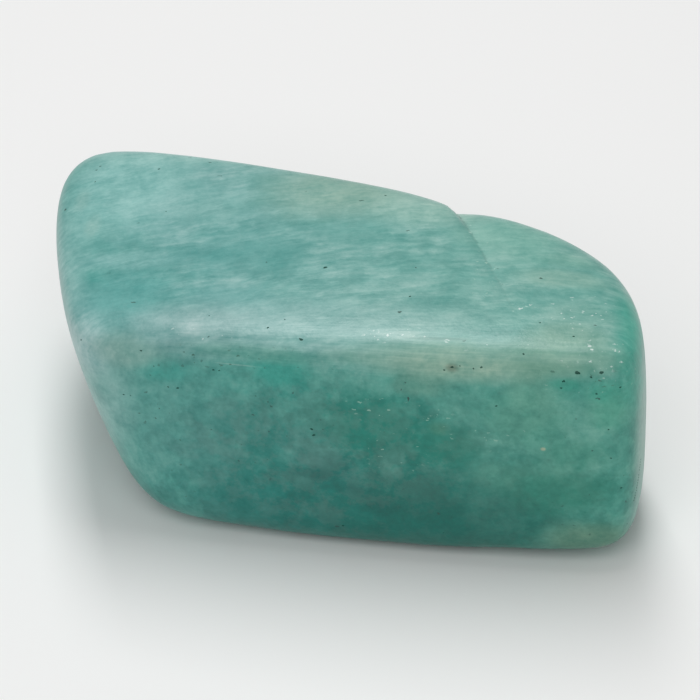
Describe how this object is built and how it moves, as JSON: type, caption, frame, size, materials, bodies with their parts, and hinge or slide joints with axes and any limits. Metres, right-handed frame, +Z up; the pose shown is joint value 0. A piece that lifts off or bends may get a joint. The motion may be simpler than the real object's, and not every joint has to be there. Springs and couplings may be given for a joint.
{
  "type": "tumbled amazonite stone",
  "caption": "Polished blue-green feldspar pebble: a long sheared cleavage block with worn edges, a small notch in its back rim and a small flat spot to rest on.",
  "frame": {"origin": "middle of the stone's box, on the surface that the flat spot rests on", "axes": "+X along the length towards the narrow right end, +Y from the tall worn front side towards the notched back side, +Z up from the flat spot"},
  "size_m": [0.0324, 0.02, 0.0145],
  "materials": {
    "amazonite": "tumbled and polished, with pale streaks and mottles in blue-green feldspar"
  },
  "bodies": {
    "root": {"stone": "amazonite"}
  },
  "joints": []
}
